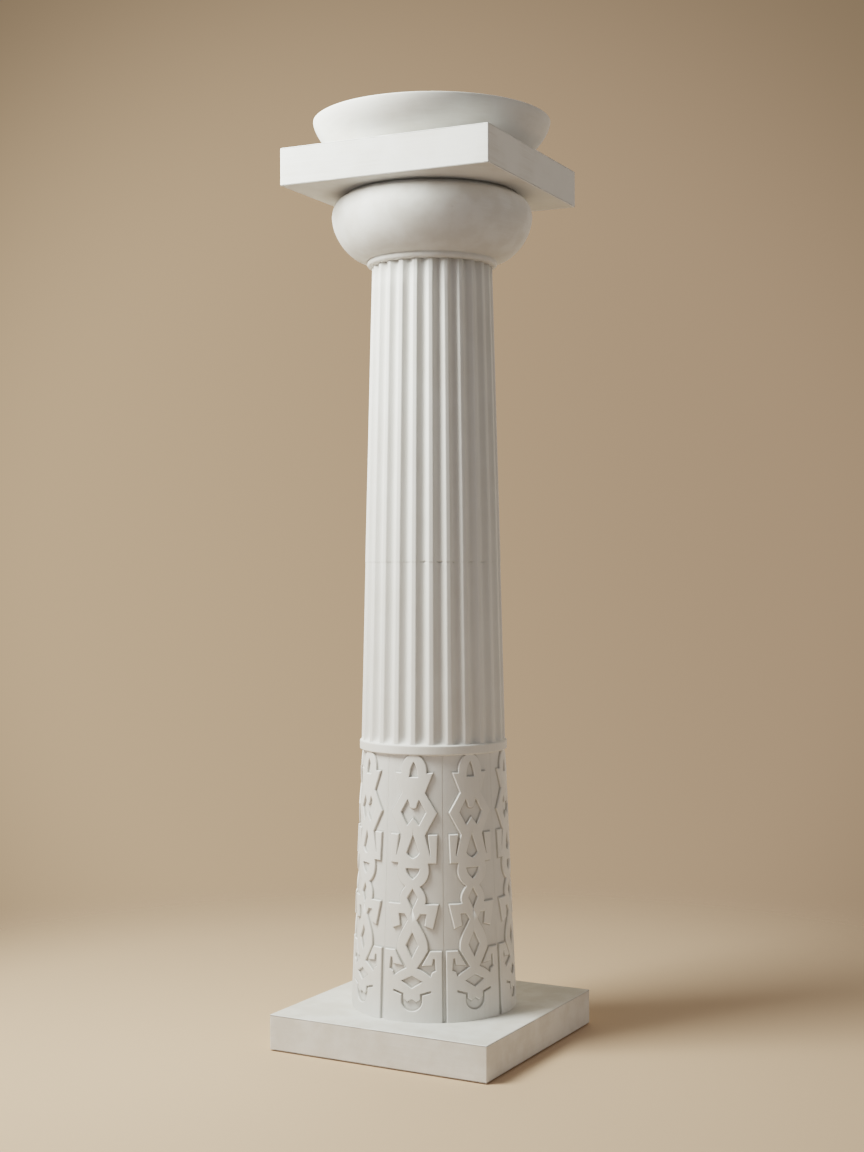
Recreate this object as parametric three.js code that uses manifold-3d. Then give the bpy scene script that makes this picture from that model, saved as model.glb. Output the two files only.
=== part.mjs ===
// Doric column in cast white plaster: a square plinth, a drum carved with strapwork, a fluted
// shaft in two lengths, a cushion echinus with its neck ring, a square abacus that sits slightly
// turned, and a round crown disc. All of them are stacked on one upright axis.
// Millimetres, +Z up, with the origin at the centre of the plinth's underside.
// Azimuth 0 faces -Y and grows towards +X.
import * as THREE from 'three';
import { mergeVertices } from 'three/addons/utils/BufferGeometryUtils.js';
import Module from 'manifold-3d';

// Heights of the joints between the pieces, measured from the floor
const PLINTH_TOP = 90;
const DRUM_TOP = 735.5;
const SHAFT_JOINT = 1207.5;
const SHAFT_TOP = 1954.5;
const ECHINUS_TOP = 2134;
const ABACUS_TOP = 2227.5;
const CROWN_TOP = 2320;

// Square slabs
const PLINTH_SIDE = 600;
const ABACUS_SIDE = 560.5;
const ABACUS_TURN = 2.74;
const SLAB_EASE = 2.5;

// Carved drum: a tapered ground with eight equal panels of strapwork standing proud of it
const DRUM_FOOT_RADIUS = 203.6;
const DRUM_HEAD_RADIUS = 176.9;
const RELIEF = 6;
const PANELS = 8;
const PANEL_TURN = 13;
const DRUM_SIDES = 24;

// Strapwork of one panel, ornament by ornament from the head down. Widths are half widths, and
// are measured flat at the drum's mean face radius. Heights are from the floor.
const FLAT_RADIUS = 196;
const HEAD = { width: 35, rise: 40, centre: 698, shoulder: 52, shoulderHeight: 693.5 };
const HEAD_SLIT = { top: 719.5, foot: 682.5, width: 11.5, swell: 9.5, swellHeight: 706 };
const BODY = { waist: 31, upperWaist: 644.5, point: 62, pointHeight: 596, lowerWaist: 542 };
const STAR = {
  tongue: 10, tongueTop: 616, tongueFoot: 606, peak: 15, peakTop: 627.5,
  point: 33, pointHeight: 597, toe: 15.5, toeHeight: 566, apex: 585,
};
const UPPER_TAB = {
  top: 543.5, foot: 473.5, outer: 62.5, outerFoot: 60, inner: 38, slit: 44.5, slitFoot: 491.5,
};
const TEARDROP = { top: 542, widest: 499, width: 16, pull: 490, foot: 485.5 };
const ROUNDEL = { centre: 457.3, width: 41.5, rise: 44.7 };
const TRIANGLE = { top: 461, width: 17.5, pull: 446, foot: 434.5 };
const LOZENGE = { top: 417, neck: 19.2, swell: 40, swellHeight: 394, foot: 31.5 };
const LOWER_TAB = {
  top: 375.5, outer: 65, outerFoot: 51, outerFootHeight: 315, inner: 30.5, innerFootHeight: 322.5,
  notch: 34.5, notchInner: 20, notchTop: 351,
};
const BULB = {
  top: 336.5, neck: 11.3, upperPull: 22, upperPullHeight: 316, lowerPull: 42, lowerPullHeight: 292,
  foot: 38.3,
};
const BORDER = { top: 262.5, inner: 43.5, width: 72 };
const WING = {
  inner: 13, innerHeight: 220.5, sweep: 30, sweepHeight: 214, toe: 45, toeHeight: 200.5,
  heel: 48, heelHeight: 210.5, outer: 57, outerHeight: 215.5, slit: 51, slitWidth: 3.5,
  slitTop: 243.5, slitFoot: 48.5, ledgeOuterHeight: 228.5, ledgeInner: 23, ledgeInnerHeight: 226,
};
const DIAMONDS = [
  { top: 411.6, middle: 389, foot: 362.5, width: 13 },
  { top: 306, middle: 275, foot: 245, width: 15 },
  { top: 201.8, middle: 188.5, foot: 172, width: 25.5 },
];
const CRESCENT = {
  centre: 141.6, width: 25, notchTop: 145.8, lobe: 10.5, lobeFoot: 138.5, tongue: 20.5,
  tongueTop: 159, slit: 3.5, arm: 45.5, armTop: 166.5, armFoot: 162,
};

// Ring at the foot of the fluted shaft
const FOOT_RING_RADIUS = 186.5;
const FOOT_RING_HEIGHT = 24.5;
const FOOT_RING_EDGE = 4;
const RING_SIDES = 40;

// Fluted shaft, in two lengths that meet with a hairline step
const LOWER_FOOT_RADIUS = 181.9;
const LOWER_HEAD_RADIUS = 171.1;
const UPPER_FOOT_RADIUS = 171.7;
const UPPER_HEAD_RADIUS = 152.1;
const FLUTES = 25;
const FLUTE_TURN = 26.9;
const FILLET_SHARE = 0.26;
const FLUTE_DEPTH = 10.5;
const FLUTE_STEPS = 4;
const FLUTE_SCOOP = 20;

// Echinus, its neck ring and the low seat on top of it
const NECK_RING_RADIUS = 165;
const NECK_RING_HEIGHT = 14.5;
const ECHINUS_FOOT_RADIUS = 164;
const ECHINUS_RADIUS = 254;
const ECHINUS_WIDEST = 2077.5;
const ECHINUS_FULLNESS = 1.74;
const SHOULDER_RADIUS = 221;
const SHOULDER_TOP = 2124.5;
const SEAT_RADIUS = 213;
const CAPITAL_SIDES = 36;

// Crown disc
const CROWN_FOOT_RADIUS = 211.7;
const CROWN_RADIUS = 300.5;
const CROWN_FULLNESS = 1.5;
const CROWN_EDGE = 2;

const plaster = () => new THREE.MeshStandardMaterial({ color: '#ebe8e1', roughness: 0.85, metalness: 0 });
const wasm = await Module();
wasm.setup();

const radians = (degrees) => degrees * Math.PI / 180;

// A closed mesh as a solid that can be joined and cut
function solidOf(geometry) {
  geometry.deleteAttribute('normal');
  geometry.deleteAttribute('uv');
  const merged = mergeVertices(geometry, 1e-4);
  const vertProperties = new Float32Array(merged.attributes.position.array);
  const triVerts = new Uint32Array(merged.index.array);
  return new wasm.Manifold(new wasm.Mesh({ numProp: 3, vertProperties, triVerts }));
}

function geometryOf(solid) {
  const mesh = solid.getMesh();
  const geometry = new THREE.BufferGeometry();
  geometry.setAttribute('position', new THREE.BufferAttribute(mesh.vertProperties, 3));
  geometry.setIndex(new THREE.BufferAttribute(mesh.triVerts, 1));
  geometry.computeVertexNormals();
  return geometry;
}

// Square slab with eased edges, standing on the height foot
function slab(side, foot, top) {
  const half = side / 2 - SLAB_EASE;
  const plan = new THREE.Shape([[-half, -half], [half, -half], [half, half], [-half, half]]
    .map(([x, y]) => new THREE.Vector2(x, y)));
  const geometry = new THREE.ExtrudeGeometry(plan, {
    depth: top - foot - 2 * SLAB_EASE,
    bevelThickness: SLAB_EASE,
    bevelSize: SLAB_EASE,
    bevelSegments: 1,
  });
  return geometry.translate(0, 0, foot + SLAB_EASE);
}

// Body of revolution about +Z from [radius, height] pairs that start and end on the axis.
// Its flat sides cross the true round, so they lie half outside it and half inside.
function turned(profile, sides) {
  const spread = 2 / (1 + Math.cos(Math.PI / sides));
  const points = profile.map(([radius, height]) => new THREE.Vector2(radius * spread, height));
  return new THREE.LatheGeometry(points, sides).rotateX(Math.PI / 2);
}

// Quarter of a rounded outline, as [across, along] shares of its reach, from [0, 1] to [1, 0]
function quarterRound(fullness, steps) {
  return Array.from({ length: steps + 1 }, (_, i) => {
    const angle = (i / steps) * Math.PI / 2;
    return [Math.sin(angle) ** (2 / fullness), Math.cos(angle) ** (2 / fullness)];
  });
}

// Points along an arc about a centre on the panel's middle line, clockwise from one angle to another
function arc(centre, width, rise, from, to, steps) {
  const curve = new THREE.EllipseCurve(0, centre, width, rise, radians(from), radians(to), true);
  return curve.getPoints(steps).map((p) => [p.x, p.y]);
}

// Points along a smooth bend from the first point to the last, pulled towards those between
function bend(steps, ...points) {
  const [a, b, c, d] = points.map(([x, z]) => new THREE.Vector2(x, z));
  const curve = d ? new THREE.CubicBezierCurve(a, b, c, d) : new THREE.QuadraticBezierCurve(a, b, c);
  return curve.getPoints(steps).map((p) => [p.x, p.y]);
}

// Closes the right half of an outline, given from the top down, with its mirror image
function mirrored(rightHalf) {
  const onMiddle = 0.01;
  const right = rightHalf.map(([x, z]) => [Math.abs(x) < onMiddle ? 0 : x, z]);
  const left = right.filter(([x]) => x > 0).map(([x, z]) => [-x, z]).reverse();
  return [...right, ...left].map(([x, z]) => new THREE.Vector2(x, z));
}

// Right half of the strapwork's outer edge, from the arched head down to the foot of its border
function outerEdge() {
  const below = PLINTH_TOP - 10;
  return [
    ...arc(HEAD.centre, HEAD.width, HEAD.rise, 90, -8, 3),
    [HEAD.shoulder, HEAD.shoulderHeight],
    [BODY.waist, BODY.upperWaist],
    [BODY.point, BODY.pointHeight],
    [BODY.waist, BODY.lowerWaist],
    [UPPER_TAB.slit, UPPER_TAB.slitFoot],
    [UPPER_TAB.inner, UPPER_TAB.top],
    [UPPER_TAB.outer, UPPER_TAB.top],
    [UPPER_TAB.outerFoot, UPPER_TAB.foot],
    ...arc(ROUNDEL.centre, ROUNDEL.width, ROUNDEL.rise, 21, -62, 3),
    ...bend(2, [LOZENGE.neck, LOZENGE.top], [LOZENGE.swell, LOZENGE.swellHeight],
      [LOZENGE.foot, LOWER_TAB.top]),
    [LOWER_TAB.outer, LOWER_TAB.top],
    [LOWER_TAB.outerFoot, LOWER_TAB.outerFootHeight],
    [LOWER_TAB.inner, LOWER_TAB.innerFootHeight],
    [LOWER_TAB.notch, LOWER_TAB.notchTop],
    [LOWER_TAB.notchInner, LOWER_TAB.notchTop],
    ...bend(3, [BULB.neck, BULB.top], [BULB.upperPull, BULB.upperPullHeight],
      [BULB.lowerPull, BULB.lowerPullHeight], [BULB.foot, BORDER.top]),
    ...bend(2, [WING.inner, WING.innerHeight], [WING.sweep, WING.sweepHeight], [WING.toe, WING.toeHeight]),
    [WING.heel, WING.heelHeight],
    [WING.outer, WING.outerHeight],
    [WING.slit + WING.slitWidth, WING.slitTop],
    [WING.slit, WING.slitTop],
    [WING.slitFoot, WING.ledgeOuterHeight],
    [WING.ledgeInner, WING.ledgeInnerHeight],
    [BORDER.inner, BORDER.top],
    [BORDER.width, BORDER.top],
    [BORDER.width, below],
  ];
}

// Right halves of the openings that are cut through the strapwork down to the ground
function openings() {
  const diamonds = DIAMONDS.map(({ top, middle, foot, width }) => [[0, top], [width, middle], [0, foot]]);
  const headSlit = bend(2, [0, HEAD_SLIT.top], [HEAD_SLIT.swell, HEAD_SLIT.swellHeight],
    [HEAD_SLIT.width, HEAD_SLIT.foot]);
  const star = [
    ...bend(2, [0, STAR.tongueFoot], [STAR.tongue, STAR.tongueFoot], [STAR.tongue, STAR.tongueTop]),
    [STAR.peak, STAR.peakTop],
    [STAR.point, STAR.pointHeight],
    [STAR.toe, STAR.toeHeight],
    [0, STAR.apex],
  ];
  const teardrop = [
    [0, TEARDROP.top],
    ...bend(2, [TEARDROP.width, TEARDROP.widest], [TEARDROP.width * 0.75, TEARDROP.pull], [0, TEARDROP.foot]),
  ];
  const triangle = bend(2, [TRIANGLE.width, TRIANGLE.top], [TRIANGLE.width * 0.85, TRIANGLE.pull],
    [0, TRIANGLE.foot]);
  const crescent = [
    [0, CRESCENT.notchTop],
    [CRESCENT.lobe, CRESCENT.lobeFoot],
    [CRESCENT.tongue, CRESCENT.notchTop],
    [CRESCENT.tongue, CRESCENT.tongueTop],
    [CRESCENT.arm, CRESCENT.armTop],
    [CRESCENT.arm, CRESCENT.armFoot],
    [CRESCENT.width, CRESCENT.tongueTop - CRESCENT.slit],
    ...arc(CRESCENT.centre, CRESCENT.width, CRESCENT.width, 0, -90, 3),
  ];
  return [headSlit, star, teardrop, triangle, ...diamonds, crescent];
}

function panelMotif() {
  const motif = new THREE.Shape(mirrored(outerEdge()));
  motif.holes = openings().map((half) => new THREE.Path(mirrored(half).reverse()));
  return motif;
}

// The motif as an upright block that passes through the drum's face, its walls square to the
// middle of the panel, with its width wrapped round the tapered face
function panelBlock() {
  const inner = DRUM_HEAD_RADIUS * 0.85;
  const outer = DRUM_FOOT_RADIUS * 1.1;
  const block = new THREE.ExtrudeGeometry(panelMotif(), { depth: outer - inner, bevelEnabled: false });
  const position = block.attributes.position;
  for (let i = 0; i < position.count; i += 1) {
    const height = position.getY(i);
    const rise = (height - PLINTH_TOP) / (DRUM_TOP - PLINTH_TOP);
    const faceRadius = RELIEF + DRUM_FOOT_RADIUS + rise * (DRUM_HEAD_RADIUS - DRUM_FOOT_RADIUS);
    const across = faceRadius * Math.sin(position.getX(i) / FLAT_RADIUS);
    position.setXYZ(i, across, -(inner + position.getZ(i)), height);
  }
  return solidOf(block);
}

function taperedDrum(proud) {
  return solidOf(turned([
    [0, PLINTH_TOP],
    [DRUM_FOOT_RADIUS + proud, PLINTH_TOP],
    [DRUM_HEAD_RADIUS + proud, DRUM_TOP],
    [0, DRUM_TOP],
  ], DRUM_SIDES));
}

function carvedDrum() {
  const block = panelBlock();
  let strapwork = block.rotate([0, 0, PANEL_TURN]);
  for (let k = 1; k < PANELS; k += 1) {
    strapwork = strapwork.add(block.rotate([0, 0, PANEL_TURN + k * 360 / PANELS]));
  }
  const ground = taperedDrum(0).rotate([0, 0, PANEL_TURN]);
  const face = taperedDrum(RELIEF).rotate([0, 0, PANEL_TURN]);
  return geometryOf(ground.add(face.intersect(strapwork)));
}

// Flute section: points round the whole shaft as [azimuth, depth share], flat fillets between
function fluteSection() {
  const pitch = 360 / FLUTES;
  const fillet = pitch * FILLET_SHARE;
  const points = [];
  for (let k = 0; k < FLUTES; k += 1) {
    const start = FLUTE_TURN + k * pitch + fillet / 2;
    for (let i = 0; i <= FLUTE_STEPS; i += 1) {
      const across = i / FLUTE_STEPS;
      points.push([start + across * (pitch - fillet), Math.sin(Math.PI * across)]);
    }
  }
  return points;
}

// Fluted length through rings of { height, radius, depth }, closed by a flat fan at each end
function flutedLength(rings) {
  const section = fluteSection();
  const count = section.length;
  const positions = [];
  for (const { height, radius, depth } of rings) {
    for (const [azimuth, share] of section) {
      const reach = radius - depth * share;
      positions.push(reach * Math.sin(radians(azimuth)), -reach * Math.cos(radians(azimuth)), height);
    }
  }
  const foot = positions.length / 3;
  positions.push(0, 0, rings[0].height, 0, 0, rings[rings.length - 1].height);
  const index = [];
  const lastRing = (rings.length - 1) * count;
  for (let i = 0; i < count; i += 1) {
    const next = (i + 1) % count;
    for (let ring = 0; ring < lastRing; ring += count) {
      index.push(ring + i, ring + next, ring + count + next);
      index.push(ring + i, ring + count + next, ring + count + i);
    }
    index.push(foot, next, i, foot + 1, lastRing + i, lastRing + next);
  }
  const geometry = new THREE.BufferGeometry();
  geometry.setAttribute('position', new THREE.Float32BufferAttribute(positions, 3));
  geometry.setIndex(index);
  return geometry;
}

// Lower length: its flutes rise out of a short scoop above the foot ring, which is cast with it
function lowerShaft() {
  const ringTop = DRUM_TOP + FOOT_RING_HEIGHT;
  const scoopMiddle = 0.3;
  const fluted = flutedLength([
    { height: ringTop, radius: LOWER_FOOT_RADIUS, depth: 0 },
    {
      height: ringTop + scoopMiddle * FLUTE_SCOOP,
      radius: LOWER_FOOT_RADIUS,
      depth: FLUTE_DEPTH * Math.sqrt(1 - (1 - scoopMiddle) ** 2),
    },
    { height: ringTop + FLUTE_SCOOP, radius: LOWER_FOOT_RADIUS, depth: FLUTE_DEPTH },
    { height: SHAFT_JOINT, radius: LOWER_HEAD_RADIUS, depth: FLUTE_DEPTH },
  ]);
  const edge = quarterRound(2, 2).map(([a, b]) => [a * FOOT_RING_EDGE, b * FOOT_RING_EDGE]);
  const flat = FOOT_RING_RADIUS - FOOT_RING_EDGE;
  const ring = turned([
    [0, DRUM_TOP],
    ...edge.map(([a, b]) => [flat + a, DRUM_TOP + FOOT_RING_EDGE - b]),
    ...edge.toReversed().map(([a, b]) => [flat + a, ringTop - FOOT_RING_EDGE + b]),
    [0, ringTop],
  ], RING_SIDES);
  return geometryOf(solidOf(ring).add(solidOf(fluted)));
}

function upperShaft() {
  return flutedLength([
    { height: SHAFT_JOINT, radius: UPPER_FOOT_RADIUS, depth: FLUTE_DEPTH },
    { height: SHAFT_TOP, radius: UPPER_HEAD_RADIUS, depth: FLUTE_DEPTH },
  ]);
}

// Echinus: a half-round neck ring, a full bowl up to the widest point, a rounded shoulder, and a
// low sloped seat on top that carries the abacus
function echinus() {
  const ringHalf = NECK_RING_HEIGHT / 2;
  const ringMiddle = SHAFT_TOP + ringHalf;
  const bowlFoot = SHAFT_TOP + NECK_RING_HEIGHT;
  const ringCentre = NECK_RING_RADIUS - ringHalf;
  const ring = Array.from({ length: 4 }, (_, i) => {
    const angle = radians(-90 + i * 45);
    return [ringCentre + ringHalf * Math.cos(angle), ringMiddle + ringHalf * Math.sin(angle)];
  });
  const bowl = quarterRound(ECHINUS_FULLNESS, 5).map(([across, along]) => [
    ECHINUS_FOOT_RADIUS + across * (ECHINUS_RADIUS - ECHINUS_FOOT_RADIUS),
    ECHINUS_WIDEST - along * (ECHINUS_WIDEST - bowlFoot),
  ]);
  const shoulder = quarterRound(2, 3).toReversed().slice(1).map(([across, along]) => [
    SHOULDER_RADIUS + across * (ECHINUS_RADIUS - SHOULDER_RADIUS),
    ECHINUS_WIDEST + along * (SHOULDER_TOP - ECHINUS_WIDEST),
  ]);
  const seat = [[SEAT_RADIUS, ECHINUS_TOP], [0, ECHINUS_TOP]];
  return turned([[0, SHAFT_TOP], ...ring, ...bowl, ...shoulder, ...seat], CAPITAL_SIDES);
}

// Crown disc: a shallow flared dish shape, flat on top, with a narrow upright rim
function crownDisc() {
  const rimFoot = CROWN_TOP - CROWN_EDGE;
  const flare = quarterRound(CROWN_FULLNESS, 5).map(([across, along]) => [
    CROWN_FOOT_RADIUS + across * (CROWN_RADIUS - CROWN_FOOT_RADIUS),
    rimFoot - along * (rimFoot - ABACUS_TOP),
  ]);
  return turned([[0, ABACUS_TOP], ...flare, [CROWN_RADIUS - 1, CROWN_TOP], [0, CROWN_TOP]], CAPITAL_SIDES);
}

const group = new THREE.Group();

function place(name, geometry, turn = 0) {
  const mesh = new THREE.Mesh(geometry, plaster());
  mesh.name = name;
  mesh.rotation.z = radians(turn);
  group.add(mesh);
}

place('plinth', slab(PLINTH_SIDE, 0, PLINTH_TOP));
place('carved_drum', carvedDrum());
place('lower_shaft', lowerShaft());
place('upper_shaft', upperShaft());
place('echinus', echinus());
place('abacus', slab(ABACUS_SIDE, ECHINUS_TOP, ABACUS_TOP), ABACUS_TURN);
place('crown_disc', crownDisc());

export default group;
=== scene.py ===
from math import cos, pi, radians, sin

import bmesh
import bpy
import numpy as np
from mathutils import Matrix, Vector, noise
from mathutils.geometry import delaunay_2d_cdt


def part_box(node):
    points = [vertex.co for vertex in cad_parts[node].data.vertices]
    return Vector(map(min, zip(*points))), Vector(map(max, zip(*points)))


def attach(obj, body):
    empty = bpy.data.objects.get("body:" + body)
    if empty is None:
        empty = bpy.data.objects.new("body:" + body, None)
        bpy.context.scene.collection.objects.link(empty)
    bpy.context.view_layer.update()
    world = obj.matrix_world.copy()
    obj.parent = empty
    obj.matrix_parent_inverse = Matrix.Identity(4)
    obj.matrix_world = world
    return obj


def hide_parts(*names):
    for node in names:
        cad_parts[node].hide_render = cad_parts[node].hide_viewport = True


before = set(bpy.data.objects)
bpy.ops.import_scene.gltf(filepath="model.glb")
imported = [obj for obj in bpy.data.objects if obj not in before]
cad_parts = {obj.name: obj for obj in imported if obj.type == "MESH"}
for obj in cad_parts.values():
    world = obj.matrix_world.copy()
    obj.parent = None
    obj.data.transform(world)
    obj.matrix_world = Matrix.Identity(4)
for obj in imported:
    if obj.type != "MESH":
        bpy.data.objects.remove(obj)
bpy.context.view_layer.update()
MM = 0.001

# Camera
# It stands a little left of the plinth's near corner, at chest height, and looks level past the
# middle of the shaft, so that the plinth is seen from above and the capital from below. Its
# angles are in degrees.
PHOTO_LONG_SIDE = 1152
LENS_IN_PIXELS = 1709.5
CAMERA_AZIMUTH = 28.45
CAMERA_DISTANCE = 4.3438
CAMERA_HEIGHT = 1.1949
CAMERA_PAN = 0.033
CAMERA_PITCH = -0.298
CAMERA_ROLL = -0.15

camera_azimuth = radians(CAMERA_AZIMUTH)
yaw = camera_azimuth + radians(CAMERA_PAN)
pitch = radians(CAMERA_PITCH)
roll = radians(CAMERA_ROLL)
forward = Vector((-sin(yaw) * cos(pitch), cos(yaw) * cos(pitch), sin(pitch)))
level_right = Vector((cos(yaw), sin(yaw), 0))
level_up = level_right.cross(forward)
right = cos(roll) * level_right + sin(roll) * level_up
up = -sin(roll) * level_right + cos(roll) * level_up

camera_data = bpy.data.cameras.new("camera")
camera_data.lens = LENS_IN_PIXELS / PHOTO_LONG_SIDE * camera_data.sensor_width
camera = bpy.data.objects.new("camera", camera_data)
stand = Vector((sin(camera_azimuth), -cos(camera_azimuth), 0)) * CAMERA_DISTANCE
place = Matrix.Translation(stand + Vector((0, 0, CAMERA_HEIGHT)))
camera.matrix_world = place @ Matrix((right, up, -forward)).transposed().to_4x4()
bpy.context.collection.objects.link(camera)
bpy.context.scene.camera = camera


# Plinth
# A square slab of cast plaster that lies on the floor by its own weight and carries the drum.
# Its edges are eased by hand, and its sides are painted with a wide brush drawn along them.
def put(tree, kind, inputs=None, **settings):
    """A node of that kind in a shader or geometry tree, with values or links on its inputs."""
    node = tree.nodes.new(kind)
    for name, value in settings.items():
        setattr(node, name, value)
    for key, value in (inputs or {}).items():
        if isinstance(value, bpy.types.NodeSocket):
            tree.links.new(value, node.inputs[key])
        else:
            node.inputs[key].default_value = value
    return node


def reckon(tree, operation, *values):
    """One step of arithmetic in a node tree."""
    return put(tree, "ShaderNodeMath", dict(enumerate(values)), operation=operation).outputs[0]


def share_between(tree, value, low, high):
    """How far a value has come from low to high, from 0 to 1, with a soft start and end."""
    inputs = {"Value": value, "From Min": low, "From Max": high}
    return put(tree, "ShaderNodeMapRange", inputs, interpolation_type="SMOOTHSTEP").outputs[0]


def new_group(name, kind, inputs, outputs):
    """An empty node group with named sockets, and its input and output nodes."""
    group = bpy.data.node_groups.new(name, kind)
    for label, (socket_type, value) in inputs.items():
        socket = group.interface.new_socket(label, in_out="INPUT", socket_type=socket_type)
        if value is not None:
            socket.default_value = value
    for label, socket_type in outputs.items():
        group.interface.new_socket(label, in_out="OUTPUT", socket_type=socket_type)
    return group, group.nodes.new("NodeGroupInput"), group.nodes.new("NodeGroupOutput")


def brush_streaks_group():
    """Fine streaks of a brush drawn one way. Grain is the pattern's steps a metre along X, Y and Z,
    so a large number across the stroke and a small one along it."""
    group, given, result = new_group("brush streaks", "ShaderNodeTree", {
        "Place": ("NodeSocketVector", None),
        "Grain": ("NodeSocketVector", (5.0, 5.0, 260.0)),
        "Wander": ("NodeSocketFloat", 0.004),
    }, {"Tone": "NodeSocketFloat", "Height": "NodeSocketFloat"})
    drift = put(group, "ShaderNodeTexNoise", {"Vector": given.outputs["Place"], "Scale": 4.0, "Detail": 1.0})
    swing = put(group, "ShaderNodeVectorMath", {0: drift.outputs["Color"], "Scale": given.outputs["Wander"]},
                operation="SCALE")
    bent = put(group, "ShaderNodeVectorMath", {0: given.outputs["Place"], 1: swing.outputs[0]})
    drawn = put(group, "ShaderNodeVectorMath", {0: bent.outputs[0], 1: given.outputs["Grain"]},
                operation="MULTIPLY")
    bristles = put(group, "ShaderNodeTexNoise", {"Vector": drawn.outputs[0], "Scale": 1.0, "Detail": 4.0,
                                                 "Roughness": 0.65})
    load = put(group, "ShaderNodeTexNoise", {"Vector": given.outputs["Place"], "Scale": 9.0, "Detail": 2.0})
    streak = share_between(group, bristles.outputs["Fac"], 0.36, 0.66)
    patch = share_between(group, load.outputs["Fac"], 0.38, 0.62)
    group.links.new(reckon(group, "MULTIPLY", streak, patch), result.inputs["Tone"])
    group.links.new(bristles.outputs["Fac"], result.inputs["Height"])
    return group


def cast_skin_group():
    """The skin of cast plaster: broad clouds in its tone, a fine grain and a few pinholes."""
    group, given, result = new_group("cast skin", "ShaderNodeTree", {
        "Place": ("NodeSocketVector", None),
        "Cloud scale": ("NodeSocketFloat", 7.0),
        "Pinholes a metre": ("NodeSocketFloat", 38.0),
        "Pinhole share": ("NodeSocketFloat", 0.12),
    }, {"Clouds": "NodeSocketFloat", "Grain": "NodeSocketFloat", "Pinholes": "NodeSocketFloat"})
    place = given.outputs["Place"]
    clouds = put(group, "ShaderNodeTexNoise", {"Vector": place, "Scale": given.outputs["Cloud scale"],
                                               "Detail": 5.0, "Roughness": 0.55})
    grain = put(group, "ShaderNodeTexNoise", {"Vector": place, "Scale": 420.0, "Detail": 3.0})
    holes = put(group, "ShaderNodeTexVoronoi", {"Vector": place, "Scale": given.outputs["Pinholes a metre"]})
    chance = put(group, "ShaderNodeSeparateColor", {0: holes.outputs["Color"]})
    picked = reckon(group, "LESS_THAN", chance.outputs["Red"], given.outputs["Pinhole share"])
    size = reckon(group, "MULTIPLY_ADD", chance.outputs["Green"], 0.05, 0.03)
    inside = reckon(group, "SUBTRACT", 1.0, reckon(group, "DIVIDE", holes.outputs["Distance"], size))
    depth = reckon(group, "MULTIPLY", picked, reckon(group, "MAXIMUM", inside, 0.0))
    group.links.new(share_between(group, clouds.outputs["Fac"], 0.35, 0.65), result.inputs["Clouds"])
    group.links.new(grain.outputs["Fac"], result.inputs["Grain"])
    group.links.new(share_between(group, depth, 0.0, 0.6), result.inputs["Pinholes"])
    return group


brush_streaks = brush_streaks_group()
cast_skin = cast_skin_group()
PAINT_WHITE = (0.81, 0.81, 0.79, 1)
PAINT_THIN = (0.70, 0.68, 0.64, 1)
PLASTER_GREY = (0.58, 0.58, 0.56, 1)
# The next colour is a painted highlight, laid along the slabs' eased edges and the strapwork's rims where
# they catch the light.
EDGE_HIGHLIGHT_WHITE = (0.93, 0.93, 0.92, 1)
PINHOLE_TINT = 0.8
SKIN_ROUGHNESS = 0.8
CLOUD_ROUGHNESS = 0.1
SKIN_SPECULAR = 0.3
GRAIN_RELIEF = 0.05
PINHOLE_RELIEF = -0.7


def tint(tree, share, base, colour, strength):
    """The base colour with some of another laid over it where share is high."""
    factor = reckon(tree, "MULTIPLY", share, strength)
    return put(tree, "ShaderNodeMix", {0: factor, 6: base, 7: colour}, data_type="RGBA").outputs[2]


def painted_plaster(name, grain, streaks, streak_relief, clouds, cloud_scale, pinholes, marks):
    """White paint on cast plaster. Streaks and clouds are shares of the thinner tone. Marks names
    mesh attributes, each with the colour that it lays over the paint and how strongly."""
    material = bpy.data.materials.new(name)
    material.use_nodes = True
    tree = material.node_tree
    shader = tree.nodes["Principled BSDF"]
    place = put(tree, "ShaderNodeTexCoord").outputs["Object"]
    brush = put(tree, "ShaderNodeGroup", node_tree=brush_streaks)
    brush.inputs["Grain"].default_value = grain
    skin = put(tree, "ShaderNodeGroup", node_tree=cast_skin)
    skin.inputs["Pinhole share"].default_value = pinholes
    skin.inputs["Cloud scale"].default_value = cloud_scale
    tree.links.new(place, brush.inputs["Place"])
    tree.links.new(place, skin.inputs["Place"])
    colour = tint(tree, skin.outputs["Clouds"], PAINT_WHITE, PAINT_THIN, clouds)
    colour = tint(tree, brush.outputs["Tone"], colour, PAINT_THIN, streaks)
    for attribute, (mark_colour, strength) in marks.items():
        share = put(tree, "ShaderNodeAttribute", attribute_name=attribute).outputs["Fac"]
        colour = tint(tree, share, colour, mark_colour, strength)
    colour = tint(tree, skin.outputs["Pinholes"], colour, PLASTER_GREY, PINHOLE_TINT)
    tree.links.new(colour, shader.inputs["Base Color"])
    roughness = reckon(tree, "MULTIPLY_ADD", skin.outputs["Clouds"], CLOUD_ROUGHNESS, SKIN_ROUGHNESS)
    tree.links.new(roughness, shader.inputs["Roughness"])
    shader.inputs["Specular IOR Level"].default_value = SKIN_SPECULAR
    strokes = reckon(tree, "MULTIPLY", brush.outputs["Height"], streak_relief)
    grained = reckon(tree, "MULTIPLY_ADD", skin.outputs["Grain"], GRAIN_RELIEF, strokes)
    height = reckon(tree, "MULTIPLY_ADD", skin.outputs["Pinholes"], PINHOLE_RELIEF, grained)
    bump = put(tree, "ShaderNodeBump", {"Height": height, "Distance": MM})
    tree.links.new(bump.outputs["Normal"], shader.inputs["Normal"])
    return material


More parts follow.
